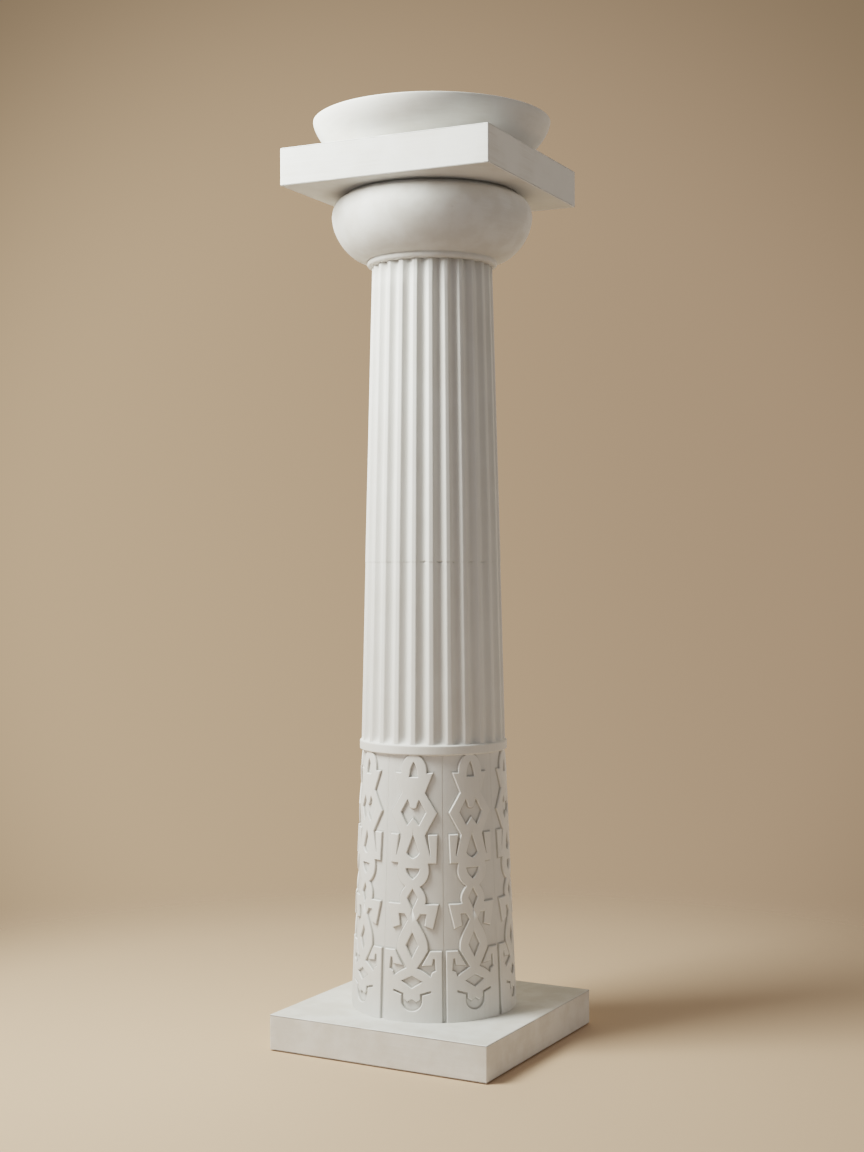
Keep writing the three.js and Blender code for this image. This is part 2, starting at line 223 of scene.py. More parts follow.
def finished(name, mesh, material):
    """A piece at the origin, shaded smooth with its broad faces kept flat, as one plain mesh."""
    mesh.shade_smooth()
    raw = bpy.data.objects.new(name + "_raw", mesh)
    bpy.context.collection.objects.link(raw)
    raw.modifiers.new("keep flats", "WEIGHTED_NORMAL").keep_sharp = True
    evaluated = raw.evaluated_get(bpy.context.evaluated_depsgraph_get())
    final = bpy.data.meshes.new_from_object(evaluated)
    final.name = name
    final.materials.clear()
    final.materials.append(material)
    bpy.data.objects.remove(raw)
    piece = bpy.data.objects.new(name, final)
    bpy.context.collection.objects.link(piece)
    return piece


SLAB_EASE = 2.5 * MM
SLAB_CELLS = 44
SOLE_SETBACK = 3
RIPPLES_A_METRE = 9
KNOCKS_A_METRE = 70
KNOCK_DEPTH = 2.5 * MM
KNOCK_THRESHOLD = 0.35


def hand_cast_slab(node, turn, ripple_depth, gap=0.0):
    """A square slab in the place of a frame node, its edges eased and its faces a little uneven.
    Where gap is given, it stands on a sole of that height, set back by SOLE_SETBACK times as much."""
    low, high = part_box(node)
    side = (high.x - low.x) / (cos(turn) + sin(turn))
    height = high.z - low.z - gap
    bm = bmesh.new()
    bmesh.ops.create_cube(bm, size=1, matrix=Matrix.Diagonal((side, side, height, 1)))
    bmesh.ops.subdivide_edges(bm, edges=bm.edges, cuts=SLAB_CELLS, use_grid_fill=True)
    corners = [edge for edge in bm.edges if edge.calc_face_angle(0) > 1]
    bmesh.ops.bevel(bm, geom=corners, offset=SLAB_EASE, segments=3, profile=0.5, affect="EDGES")
    bm.normal_update()
    # The "edge" layer marks the eased edges, where the paint lays a painted highlight.
    edge_highlight_share = bm.verts.layers.float.new("edge")
    for vertex in bm.verts:
        on_edge = max(abs(vertex.normal.x), abs(vertex.normal.y), abs(vertex.normal.z)) < 0.98
        vertex[edge_highlight_share] = float(on_edge)
        ripple = 0.5 + 0.5 * noise.noise(vertex.co * RIPPLES_A_METRE)
        knock = max(0, noise.noise(vertex.co * KNOCKS_A_METRE) - KNOCK_THRESHOLD) if on_edge else 0
        vertex.co -= vertex.normal * (ripple_depth * ripple + KNOCK_DEPTH * knock)
    if gap:
        sole = [face for face in bm.faces if face.normal.z < -0.99]
        bmesh.ops.inset_region(bm, faces=sole, thickness=SOLE_SETBACK * gap)
        lowered = bmesh.ops.extrude_face_region(bm, geom=sole)["geom"]
        bmesh.ops.delete(bm, geom=sole, context="FACES")
        lowered = [part for part in lowered if isinstance(part, bmesh.types.BMVert)]
        bmesh.ops.translate(bm, verts=lowered, vec=(0, 0, -gap))
    middle = (low + high) / 2 + Vector((0, 0, gap / 2))
    bm.transform(Matrix.Translation(middle) @ Matrix.Rotation(turn, 4, "Z"))
    mesh = bpy.data.meshes.new(node)
    bm.to_mesh(mesh)
    bm.free()
    return mesh


# The plinth's edge mark is a painted highlight along its eased edges.
plinth_paint = painted_plaster(
    "plinth paint", grain=(5, 5, 90), streaks=0.3, streak_relief=0.15, clouds=0.65, cloud_scale=15,
    pinholes=0.08, marks={"edge": (EDGE_HIGHLIGHT_WHITE, 0.7)})
plinth_mesh = hand_cast_slab("plinth", turn=0, ripple_depth=0.35 * MM, gap=2.2 * MM)
plinth = finished("plinth_slab", plinth_mesh, plinth_paint)
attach(plinth, "root")
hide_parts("plinth")

# Carved drum
# A round drum that tapers upwards, cast in one piece with eight equal panels of flat strapwork
# standing proud of it. A hairline of the mould runs up the ground between every two panels.
# The ornament's widths are half widths, flat at the mean face radius, and its heights are from
# the floor, all in millimetres.
DRUM_FOOT_RADIUS = 203.6
DRUM_HEAD_RADIUS = 176.9
FLAT_RADIUS = 196
RELIEF = 6
PANELS = 8
PANEL_TURN = 13
HEAD = dict(width=35, rise=40, centre=698, last_angle=-8, shoulder=52, shoulder_height=693.5)
HEAD_SLIT = dict(top=719.5, foot=682.5, width=11.5, swell=9.5, swell_height=706)
BODY = dict(waist=31, upper_waist=644.5, point=62, point_height=596, lower_waist=542)
STAR = dict(tongue=10, tongue_top=616, tongue_foot=606, peak=15, peak_top=627.5, point=33,
            point_height=597, toe=15.5, toe_height=566, apex=585)
UPPER_TAB = dict(top=543.5, foot=473.5, outer=62.5, outer_foot=60, inner=38, slit=44.5, slit_foot=491.5)
TEARDROP = dict(top=542, widest=499, width=16, pull_share=0.75, pull=490, foot=485.5)
ROUNDEL = dict(centre=457.3, width=41.5, rise=44.7, first_angle=21, last_angle=-62)
TRIANGLE = dict(top=461, width=17.5, pull_share=0.85, pull=446, foot=434.5)
LOZENGE = dict(top=417, neck=19.2, swell=40, swell_height=394, foot=31.5)
LOWER_TAB = dict(top=375.5, outer=65, outer_foot=51, outer_foot_height=315, inner=30.5,
                 inner_foot_height=322.5, notch=34.5, notch_inner=20, notch_top=351)
BULB = dict(top=336.5, neck=11.3, upper_pull=22, upper_pull_height=316, lower_pull=42,
            lower_pull_height=292, foot=38.3)
BORDER = dict(top=262.5, inner=43.5, width=72)
WING = dict(inner=13, inner_height=220.5, sweep=30, sweep_height=214, toe=45, toe_height=200.5,
            heel=48, heel_height=210.5, outer=57, outer_height=215.5, slit=51, slit_width=3.5,
            slit_top=243.5, slit_foot=48.5, ledge_outer_height=228.5, ledge_inner=23,
            ledge_inner_height=226)
DIAMONDS = [dict(top=411.6, middle=389, foot=362.5, width=13),
            dict(top=306, middle=275, foot=245, width=15),
            dict(top=201.8, middle=188.5, foot=172, width=25.5)]
CRESCENT = dict(centre=141.6, width=25, notch_top=145.8, lobe=10.5, lobe_foot=138.5, tongue=20.5,
                tongue_top=159, slit=3.5, arm=45.5, arm_top=166.5, arm_foot=162)
# A painted shade: the next colour darkens and cools the ground between the strapwork.
GROUND_SHADE_TONE = (0.56, 0.585, 0.60, 1)
# A painted shade: the next colour darkens the corner at the foot of each strapwork wall.
CORNER_SHADE_TONE = (0.36, 0.35, 0.32, 1)


def arc(centre, width, rise, start, end, steps):
    """Points of an arc about a centre on the panel's middle line, between two angles in degrees."""
    angles = np.radians(np.linspace(start, end, steps + 1))
    return [(width * cos(a), centre + rise * sin(a)) for a in angles]


def bend(steps, *points):
    """Points of a smooth bend from the first point to the last, pulled towards those between."""
    line = []
    for t in np.linspace(0, 1, steps + 1):
        pulled = np.array(points, float)
        while len(pulled) > 1:
            pulled = (1 - t) * pulled[:-1] + t * pulled[1:]
        line.append(tuple(pulled[0]))
    return line


def mirrored(right_half):
    """The whole outline from its right half, given from the top down."""
    on_middle = 0.01
    snapped = [(0.0 if abs(x) < on_middle else x, z) for x, z in right_half]
    left = [(-x, z) for x, z in reversed(snapped) if x > 0]
    return np.array(snapped + left)


def outer_edge(foot):
    """Right half of the strapwork's outer edge, from the arched head down to the border's foot."""
    return [
        *arc(HEAD["centre"], HEAD["width"], HEAD["rise"], 90, HEAD["last_angle"], 12),
        (HEAD["shoulder"], HEAD["shoulder_height"]),
        (BODY["waist"], BODY["upper_waist"]),
        (BODY["point"], BODY["point_height"]),
        (BODY["waist"], BODY["lower_waist"]),
        (UPPER_TAB["slit"], UPPER_TAB["slit_foot"]),
        (UPPER_TAB["inner"], UPPER_TAB["top"]),
        (UPPER_TAB["outer"], UPPER_TAB["top"]),
        (UPPER_TAB["outer_foot"], UPPER_TAB["foot"]),
        *arc(ROUNDEL["centre"], ROUNDEL["width"], ROUNDEL["rise"], ROUNDEL["first_angle"],
             ROUNDEL["last_angle"], 10),
        *bend(6, (LOZENGE["neck"], LOZENGE["top"]), (LOZENGE["swell"], LOZENGE["swell_height"]),
              (LOZENGE["foot"], LOWER_TAB["top"])),
        (LOWER_TAB["outer"], LOWER_TAB["top"]),
        (LOWER_TAB["outer_foot"], LOWER_TAB["outer_foot_height"]),
        (LOWER_TAB["inner"], LOWER_TAB["inner_foot_height"]),
        (LOWER_TAB["notch"], LOWER_TAB["notch_top"]),
        (LOWER_TAB["notch_inner"], LOWER_TAB["notch_top"]),
        *bend(10, (BULB["neck"], BULB["top"]), (BULB["upper_pull"], BULB["upper_pull_height"]),
              (BULB["lower_pull"], BULB["lower_pull_height"]), (BULB["foot"], BORDER["top"])),
        *bend(6, (WING["inner"], WING["inner_height"]), (WING["sweep"], WING["sweep_height"]),
              (WING["toe"], WING["toe_height"])),
        (WING["heel"], WING["heel_height"]),
        (WING["outer"], WING["outer_height"]),
        (WING["slit"] + WING["slit_width"], WING["slit_top"]),
        (WING["slit"], WING["slit_top"]),
        (WING["slit_foot"], WING["ledge_outer_height"]),
        (WING["ledge_inner"], WING["ledge_inner_height"]),
        (BORDER["inner"], BORDER["top"]),
        (BORDER["width"], BORDER["top"]),
        (BORDER["width"], foot),
    ]


def openings():
    """Right halves of the openings cut through the strapwork down to the ground."""
    diamonds = [[(0, d["top"]), (d["width"], d["middle"]), (0, d["foot"])] for d in DIAMONDS]
    head_slit = bend(6, (0, HEAD_SLIT["top"]), (HEAD_SLIT["swell"], HEAD_SLIT["swell_height"]),
                     (HEAD_SLIT["width"], HEAD_SLIT["foot"]))
    star = [
        *bend(6, (0, STAR["tongue_foot"]), (STAR["tongue"], STAR["tongue_foot"]),
              (STAR["tongue"], STAR["tongue_top"])),
        (STAR["peak"], STAR["peak_top"]),
        (STAR["point"], STAR["point_height"]),
        (STAR["toe"], STAR["toe_height"]),
        (0, STAR["apex"]),
    ]
    teardrop = [
        (0, TEARDROP["top"]),
        *bend(6, (TEARDROP["width"], TEARDROP["widest"]),
              (TEARDROP["width"] * TEARDROP["pull_share"], TEARDROP["pull"]), (0, TEARDROP["foot"])),
    ]
    triangle = bend(6, (TRIANGLE["width"], TRIANGLE["top"]),
                    (TRIANGLE["width"] * TRIANGLE["pull_share"], TRIANGLE["pull"]), (0, TRIANGLE["foot"]))
    crescent = [
        (0, CRESCENT["notch_top"]),
        (CRESCENT["lobe"], CRESCENT["lobe_foot"]),
        (CRESCENT["tongue"], CRESCENT["notch_top"]),
        (CRESCENT["tongue"], CRESCENT["tongue_top"]),
        (CRESCENT["arm"], CRESCENT["arm_top"]),
        (CRESCENT["arm"], CRESCENT["arm_foot"]),
        (CRESCENT["width"], CRESCENT["tongue_top"] - CRESCENT["slit"]),
        *arc(CRESCENT["centre"], CRESCENT["width"], CRESCENT["width"], 0, -90, 10),
    ]
    return [head_slit, star, teardrop, triangle, *diamonds, crescent]


def beside(outline, distance):
    """The outline moved sideways, to the left of its direction where distance is positive.
    Its longest points are cut off."""
    along = np.roll(outline, -1, axis=0) - outline
    along /= np.linalg.norm(along, axis=1)[:, None]
    normal = np.stack([-along[:, 1], along[:, 0]], axis=1)
    moved = []
    for point, before, after in zip(outline, np.roll(normal, 1, axis=0), normal):
        middle = before + after
        length = np.linalg.norm(middle)
        outside = distance * (before[0] * after[1] - before[1] * after[0]) < 0
        if outside and length < 1:
            moved += [point + distance * before, point + distance * after]
        else:
            moved.append(point + distance * 2 * middle / max(length, 0.15) ** 2)
    return np.array(moved)


def distance_inside(points, outlines):
    """Signed distance of each point from the strapwork's edge, positive on the strapwork."""
    nearest = np.full(len(points), np.inf)
    inside = np.zeros(len(points), bool)
    for outline in outlines:
        for a, b in zip(outline, np.roll(outline, -1, axis=0)):
            reach = b - a
            share = np.clip((points - a) @ reach / (reach @ reach), 0, 1)
            gap = points - a - share[:, None] * reach
            nearest = np.minimum(nearest, np.hypot(gap[:, 0], gap[:, 1]))
            crosses = (a[1] > points[:, 1]) != (b[1] > points[:, 1])
            if a[1] != b[1]:
                side = a[0] + (points[:, 1] - a[1]) / (b[1] - a[1]) * (b[0] - a[0])
                inside ^= crosses & (points[:, 0] < side)
    return np.where(inside, nearest, -nearest)


# What share of the relief the strapwork's edge has reached at each distance inside its outline:
# a small fillet at the foot, a steep wall and a softly rounded top. A dark grey painted shade lies
# in the corner at its foot, and a painted highlight on its rim.
EDGE_DISTANCES = [-1.6, -0.9, -0.3, 0.8, 1.3, 2.0]
EDGE_SHARES = [0, 0.06, 0.22, 0.8, 0.94, 1]
EDGE_TILTS = [0, 40, 72, 72, 40, 0]
CORNER_SHADE_DISTANCES = [-4.5, -1.6, 0.3, 0.8]
CORNER_SHADE_SHARES = [0, 0.7, 1, 0]
RIM_HIGHLIGHT_DISTANCES = [-0.3, 0.8, 1.3, 2.0]
RIM_HIGHLIGHT_SHARES = [0, 1, 0.8, 0]
SEAM_HALF_WIDTH = 1.5
SEAM_DEPTH = 1.2
SEAM_TILT = 38
PANEL_COLUMNS = 16
PANEL_ROWS = 19
BELOW_FOOT = 10


def carved_panel():
    """One panel and its ground as an open sheet, wrapped round the drum's face at azimuth 0."""
    low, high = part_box("carved_drum")
    foot, top = low.z / MM, high.z / MM
    half = pi / PANELS * FLAT_RADIUS
    outlines = [mirrored(outer_edge(foot - BELOW_FOOT))[::-1]] + [mirrored(hole) for hole in openings()]
    points, edges = [], []

    def line(corners, closed):
        first = len(points)
        points.extend(Vector(corner) for corner in corners)
        count = len(corners)
        edges.extend((first + i, first + (i + 1) % count) for i in range(count if closed else count - 1))

    line([(-half, foot), (half, foot), (half, top), (-half, top)], True)
    for outline in outlines:
        for distance in (CORNER_SHADE_DISTANCES[0], *EDGE_DISTANCES):
            line(beside(outline, distance), True)
    seam_lines = [SEAM_HALF_WIDTH - half, half - SEAM_HALF_WIDTH]
    for x in (*np.linspace(-half, half, PANEL_COLUMNS + 1)[1:-1], *seam_lines):
        line([(x, foot), (x, top)], False)
    for z in np.linspace(foot, top, PANEL_ROWS + 1)[1:-1]:
        line([(-half, z), (half, z)], False)

    flat, _, faces, *_ = delaunay_2d_cdt(points, edges, [], 0, 1e-4)
    flat = np.array([tuple(v) for v in flat])
    middles = np.array([flat[list(face)].mean(axis=0) for face in faces])
    inside = (abs(middles[:, 0]) < half) & (middles[:, 1] > foot) & (middles[:, 1] < top)
    faces = [face for face, kept in zip(faces, inside) if kept]

    distance = distance_inside(flat, outlines)
    relief = np.interp(distance, EDGE_DISTANCES, EDGE_SHARES) * RELIEF
    seam = np.clip(1 - (half - abs(flat[:, 0])) / SEAM_HALF_WIDTH, 0, 1)
    relief -= SEAM_DEPTH * seam
    rise = (flat[:, 1] - foot) / (top - foot)
    radius = DRUM_FOOT_RADIUS + rise * (DRUM_HEAD_RADIUS - DRUM_FOOT_RADIUS) + relief
    angle = flat[:, 0] / FLAT_RADIUS
    places = np.stack([radius * np.sin(angle), -radius * np.cos(angle), flat[:, 1]], axis=1) * MM
    mesh = bpy.data.meshes.new("panel")
    mesh.from_pydata(places.tolist(), [], [tuple(face) for face in faces])
    # This mask is painted shade: it darkens the ground more the further it lies below the strapwork's face.
    recess_shade = np.clip(1 - relief / RELIEF, 0, 1)
    # corner is the mask of painted shade in the corner at the foot of each strapwork wall.
    corner = np.interp(distance, CORNER_SHADE_DISTANCES, CORNER_SHADE_SHARES)
    # rim is the mask of the painted highlight along the strapwork's rounded top edge.
    rim = np.interp(distance, RIM_HIGHLIGHT_DISTANCES, RIM_HIGHLIGHT_SHARES)
    for name, values in (("relief", relief), ("recess_shade", recess_shade), ("corner", corner), ("rim", rim)):
        mesh.attributes.new(name, "FLOAT", "POINT").data.foreach_set("value", values.astype(np.float32))
    return mesh


def modifier_inputs(modifier, values):
    """Sets a Geometry Nodes modifier's inputs by the names that they have in its group."""
    for socket in modifier.node_group.interface.items_tree:
        if socket.item_type == "SOCKET" and socket.in_out == "INPUT" and socket.name in values:
            modifier[socket.identifier] = values[socket.name]


def made_by_nodes(name, mesh, group, values):
    """The plain mesh that a Geometry Nodes group makes of another mesh."""
    blank = bpy.data.objects.new(name, mesh)
    bpy.context.collection.objects.link(blank)
    modifier = blank.modifiers.new(name, "NODES")
    modifier.node_group = group
    modifier_inputs(modifier, values)
    evaluated = blank.evaluated_get(bpy.context.evaluated_depsgraph_get())
    made = bpy.data.meshes.new_from_object(evaluated)
    blank.modifiers.remove(modifier)
    bpy.data.objects.remove(blank)
    return made


def panels_group():
    """Sets equal panels round the drum and joins them at their seams."""
    group, given, result = new_group("panels round the drum", "GeometryNodeTree", {
        "Geometry": ("NodeSocketGeometry", None),
        "Panels": ("NodeSocketInt", 8),
        "Turn": ("NodeSocketFloat", 0.0),
        "Join within": ("NodeSocketFloat", 0.00002),
        "Material": ("NodeSocketMaterial", None),
    }, {"Geometry": "NodeSocketGeometry"})
    spots = put(group, "GeometryNodePoints", {"Count": given.outputs["Panels"]})
    pitch = reckon(group, "DIVIDE", 2 * pi, given.outputs["Panels"])
    number = put(group, "GeometryNodeInputIndex").outputs[0]
    turn = reckon(group, "MULTIPLY_ADD", number, pitch, given.outputs["Turn"])
    facing = put(group, "ShaderNodeCombineXYZ", {"Z": turn})
    copies = put(group, "GeometryNodeInstanceOnPoints", {
        "Points": spots.outputs[0], "Instance": given.outputs["Geometry"], "Rotation": facing.outputs[0]})
    real = put(group, "GeometryNodeRealizeInstances", {0: copies.outputs[0]})
    joined = put(group, "GeometryNodeMergeByDistance", {
        "Geometry": real.outputs[0], "Distance": given.outputs["Join within"]})
    painted = put(group, "GeometryNodeSetMaterial", {
        "Geometry": joined.outputs[0], "Material": given.outputs["Material"]})
    group.links.new(painted.outputs[0], result.inputs[0])
    return group


def close_ends(mesh):
    """Closes the drum's open foot and head with a flat fan each."""
    bm = bmesh.new()
    bm.from_mesh(mesh)
    rims = [edge for edge in bm.edges if edge.is_boundary]
    middle = sum(edge.verts[0].co.z for edge in rims) / len(rims)
    for below in (True, False):
        rim = [edge for edge in rims if (edge.verts[0].co.z < middle) == below]
        centre = bm.verts.new((0, 0, rim[0].verts[0].co.z))
        for edge in rim:
            bm.faces.new((*edge.verts, centre))
    bmesh.ops.recalc_face_normals(bm, faces=bm.faces)
    bm.to_mesh(mesh)
    bm.free()


def round_edges_by_normals(mesh):
    """Gives each face corner the normal of the true drum, tilted where the strapwork's edge rounds."""
    count = len(mesh.polygons)
    corners = np.empty(count * 3, np.int32)
    mesh.loops.foreach_get("vertex_index", corners)
    corners = corners.reshape(count, 3)
    place = np.empty(len(mesh.vertices) * 3, np.float32)
    mesh.vertices.foreach_get("co", place)
    place = place.reshape(-1, 3).astype(float)
    relief = np.empty(len(mesh.vertices), np.float32)
    mesh.attributes["relief"].data.foreach_get("value", relief)
    facet = np.empty(count * 3, np.float32)
    mesh.polygons.foreach_get("normal", facet)
    facet = facet.reshape(count, 3)

    radial = place * (1, 1, 0)
    radial /= np.maximum(np.linalg.norm(radial, axis=1), 1e-9)[:, None]
    slope = (DRUM_FOOT_RADIUS - DRUM_HEAD_RADIUS) * MM / (place[:, 2].max() - place[:, 2].min())
    outward = radial + (0, 0, slope)
    outward /= np.linalg.norm(outward, axis=1)[:, None]
    ground = place - radial * relief[:, None] * MM
    a, b, c = (ground[corners[:, i]] for i in range(3))
    ha, hb, hc = (relief[corners[:, i]] for i in range(3))
    across = np.cross(b - a, c - a)
    area = np.einsum("ij,ij->i", across, across)[:, None] + 1e-18
    uphill = (np.cross(across, c - b) * ha[:, None] + np.cross(across, a - c) * hb[:, None]
              + np.cross(across, b - a) * hc[:, None]) / area
    steep = np.linalg.norm(uphill, axis=1)
    uphill /= np.maximum(steep, 1e-9)[:, None]
    on_edge = steep > 0.02 / MM
    heights = [-SEAM_DEPTH, *(share * RELIEF for share in EDGE_SHARES)]
    tilt = np.radians(np.interp(relief, heights, [SEAM_TILT, *EDGE_TILTS]))
    normals = np.empty((count, 3, 3))
    for i in range(3):
        lean = tilt[corners[:, i]] * on_edge
        upright = outward[corners[:, i]]
        normals[:, i] = np.cos(lean)[:, None] * upright - np.sin(lean)[:, None] * uphill
    ends = abs(facet[:, 2]) > 0.99
    normals[ends] = facet[ends][:, None, :]
    mesh.shade_smooth()
    mesh.normals_split_custom_set(normals.reshape(-1, 3).tolist())


drum_paint = painted_plaster(
    "drum paint", grain=(170, 170, 5), streaks=0.22, streak_relief=0.12, clouds=0.25, cloud_scale=9,
    pinholes=0.05, marks={
        # painted shade on the ground between the strapwork, in a cooler tone
        "recess_shade": (GROUND_SHADE_TONE, 0.2),
        # painted highlight on the strapwork's rims
        "rim": (EDGE_HIGHLIGHT_WHITE, 0.9),
        # painted shade in the corners at the walls' feet
        "corner": (CORNER_SHADE_TONE, 0.6),
    })
drum_mesh = made_by_nodes("panels", carved_panel(), panels_group(), {
    "Panels": PANELS, "Turn": radians(PANEL_TURN), "Material": drum_paint})
close_ends(drum_mesh)
round_edges_by_normals(drum_mesh)
drum = bpy.data.objects.new("strapwork_drum", drum_mesh)
bpy.context.collection.objects.link(drum)
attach(drum, "root")
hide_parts("carved_drum")

# Lower shaft
# The lower length of the fluted shaft, run in plaster with a flat rounded ring at its foot. Each
# flute springs from a short round scoop just above the ring. Sizes are in millimetres.
FOOT_RING_RADIUS = 186.5
FOOT_RING_HEIGHT = 24.5
FOOT_RING_EDGE = 4
FOOT_RING_STEPS = 5
LOWER_FOOT_RADIUS = 181.9
LOWER_HEAD_RADIUS = 171.1
FLUTES = 25
FLUTE_TURN = 26.9
FILLET_SHARE = 0.26
FLUTE_DEPTH = 10.5
FLUTE_SCOOP = 20
STEPS_A_FLUTE = 32
JOINT_EASE = 0.35
JOINT_REACH = 12
JOINT_ROWS = 12
SCOOP_ROWS = 15
PLAIN_ROWS = 9


def turned(name, profile, steps, first=0.0):
    """A closed body turned about the upright axis, from [radius, height] pairs in millimetres
    between its two poles. The first upright line of its mesh lies at azimuth first, in degrees."""
    angles = radians(first) + np.arange(steps) * 2 * pi / steps
    rim = [(r * MM * sin(a), -r * MM * cos(a), z * MM) for r, z in profile for a in angles]
    poles = [(0, 0, profile[0][1] * MM), (0, 0, profile[-1][1] * MM)]
    foot, head = len(rim), len(rim) + 1
    last = (len(profile) - 1) * steps
    faces = []
    for i in range(steps):
        j = (i + 1) % steps
        faces.append((foot, j, i))
        faces.append((head, last + i, last + j))
        faces.extend((row + i, row + j, row + steps + j, row + steps + i) for row in range(0, last, steps))
    mesh = bpy.data.meshes.new(name)
    mesh.from_pydata(rim + poles, [], faces)
    return mesh


def rounded(centre_radius, centre_height, radius, start, end, steps):
    """A rounded stretch of a profile, between two angles in degrees from level and outwards."""
    angles = np.radians(np.linspace(start, end, steps + 1))
    return [(centre_radius + radius * cos(a), centre_height + radius * sin(a)) for a in angles]


def taper(foot, head, heights):
    """A straight tapered stretch of a profile, at the given heights between [radius, height] ends."""
    return [(np.interp(z, (foot[1], head[1]), (foot[0], head[0])), z) for z in heights]


def flutes_group():
    """Cuts flutes into a turned blank, each with a round scoop at its foot, and chips the edge of
    the joint where two lengths meet."""
    group, given, result = new_group("flutes", "GeometryNodeTree", {
        "Geometry": ("NodeSocketGeometry", None),
        "Flutes": ("NodeSocketInt", 25),
        "Turn": ("NodeSocketFloat", 0.0),
        "Depth": ("NodeSocketFloat", 0.008),
        "Fillet share": ("NodeSocketFloat", 0.26),
        "Softness": ("NodeSocketFloat", 0.2),
        "Scoop foot": ("NodeSocketFloat", 0.0),
        "Scoop height": ("NodeSocketFloat", 0.02),
        "Joint height": ("NodeSocketFloat", 1.0),
        "Chip depth": ("NodeSocketFloat", 0.003),
        "Chip height": ("NodeSocketFloat", 0.003),
        "Crumbs a metre": ("NodeSocketFloat", 55.0),
        "Material": ("NodeSocketMaterial", None),
    }, {"Geometry": "NodeSocketGeometry"})
    size = given.outputs
    place = put(group, "GeometryNodeInputPosition").outputs[0]
    parts = put(group, "ShaderNodeSeparateXYZ", {0: place})
    x, y, z = (parts.outputs[i] for i in range(3))
    azimuth = reckon(group, "ARCTAN2", x, reckon(group, "MULTIPLY", y, -1.0))
    pitches = reckon(group, "DIVIDE", reckon(group, "SUBTRACT", azimuth, size["Turn"]), 2 * pi)
    above_zero = 1000.0
    count = reckon(group, "ADD", reckon(group, "MULTIPLY", pitches, size["Flutes"]), above_zero)
    off_middle = reckon(group, "ABSOLUTE", reckon(group, "SUBTRACT", reckon(group, "FRACT", count), 0.5))
    half_flute = reckon(group, "MULTIPLY_ADD", size["Fillet share"], -0.5, 0.5)
    quarter_turns = reckon(group, "DIVIDE", off_middle, half_flute)
    section = reckon(group, "COSINE", reckon(group, "MULTIPLY", quarter_turns, pi / 2))
    hollow = reckon(group, "SMOOTH_MAX", section, 0.0, size["Softness"])
    climb = reckon(group, "DIVIDE", reckon(group, "SUBTRACT", z, size["Scoop foot"]), size["Scoop height"])
    climbed = reckon(group, "MINIMUM", reckon(group, "MAXIMUM", climb, 0.0), 1.0)
    to_climb = reckon(group, "SUBTRACT", 1.0, climbed)
    rising = reckon(group, "SQRT", reckon(group, "SUBTRACT", 1.0, reckon(group, "POWER", to_climb, 2.0)))
    cut = reckon(group, "MULTIPLY", hollow, rising)
    from_joint = reckon(group, "ABSOLUTE", reckon(group, "SUBTRACT", z, size["Joint height"]))
    near_joint = reckon(group, "SUBTRACT", 1.0, reckon(group, "DIVIDE", from_joint, size["Chip height"]))
    crumbs = put(group, "ShaderNodeTexNoise", {
        "Vector": place, "Scale": size["Crumbs a metre"], "Detail": 2.0})
    crumbled = share_between(group, crumbs.outputs[0], 0.52, 0.62)
    in_flute = share_between(group, hollow, 0.6, 0.85)
    chipped = reckon(group, "MULTIPLY", in_flute, crumbled)
    chip = reckon(group, "MULTIPLY", chipped, reckon(group, "MAXIMUM", near_joint, 0.0))
    chip_cut = reckon(group, "MULTIPLY", chip, size["Chip depth"])
    inwards = reckon(group, "MULTIPLY_ADD", cut, size["Depth"], chip_cut)
    spoke = put(group, "ShaderNodeVectorMath", {0: place, 1: (1, 1, 0)}, operation="MULTIPLY")
    outward = put(group, "ShaderNodeVectorMath", {0: spoke.outputs[0]}, operation="NORMALIZE")
    push = reckon(group, "MULTIPLY", inwards, -1.0)
    move = put(group, "ShaderNodeVectorMath", {0: outward.outputs[0], "Scale": push}, operation="SCALE")
    above_ring = reckon(group, "GREATER_THAN", z, size["Scoop foot"])
    fluted = put(group, "GeometryNodeSetPosition", {
        "Geometry": size["Geometry"], "Selection": above_ring, "Offset": move.outputs[0]})
    noted = put(group, "GeometryNodeStoreNamedAttribute", {
        "Geometry": fluted.outputs[0], "Name": "chip", "Value": chip}, data_type="FLOAT", domain="POINT")
    real = put(group, "GeometryNodeRealizeInstances", {0: noted.outputs[0]})
    painted = put(group, "GeometryNodeSetMaterial", {
        "Geometry": real.outputs[0], "Material": size["Material"]})
    group.links.new(painted.outputs[0], result.inputs[0])
    return group


flutes = flutes_group()
shaft_paint = painted_plaster(
    "shaft paint", grain=(190, 190, 4), streaks=0.2, streak_relief=0.1, clouds=0.25, cloud_scale=7,
    pinholes=0.05, marks={"chip": (PLASTER_GREY, 0.8)})
low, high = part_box("lower_shaft")
ring_foot, joint = low.z / MM, high.z / MM
ring_top = ring_foot + FOOT_RING_HEIGHT
ring_flat = FOOT_RING_RADIUS - FOOT_RING_EDGE
scoop_rows = np.linspace(ring_top, ring_top + FLUTE_SCOOP, SCOOP_ROWS)
plain_rows = np.linspace(ring_top + FLUTE_SCOOP, joint - JOINT_REACH, PLAIN_ROWS)[1:]
joint_rows = np.linspace(joint - JOINT_REACH, joint - JOINT_EASE, JOINT_ROWS)[1:]
lower_rows = [*scoop_rows, *plain_rows, *joint_rows]
lower_profile = [
    *rounded(ring_flat, ring_foot + FOOT_RING_EDGE, FOOT_RING_EDGE, -90, 0, FOOT_RING_STEPS),
    *rounded(ring_flat, ring_top - FOOT_RING_EDGE, FOOT_RING_EDGE, 0, 90, FOOT_RING_STEPS),
    *taper((LOWER_FOOT_RADIUS, ring_top), (LOWER_HEAD_RADIUS, joint), lower_rows),
    (LOWER_HEAD_RADIUS - JOINT_EASE, joint),
]
lower_blank = turned("lower_blank", lower_profile, FLUTES * STEPS_A_FLUTE, FLUTE_TURN)
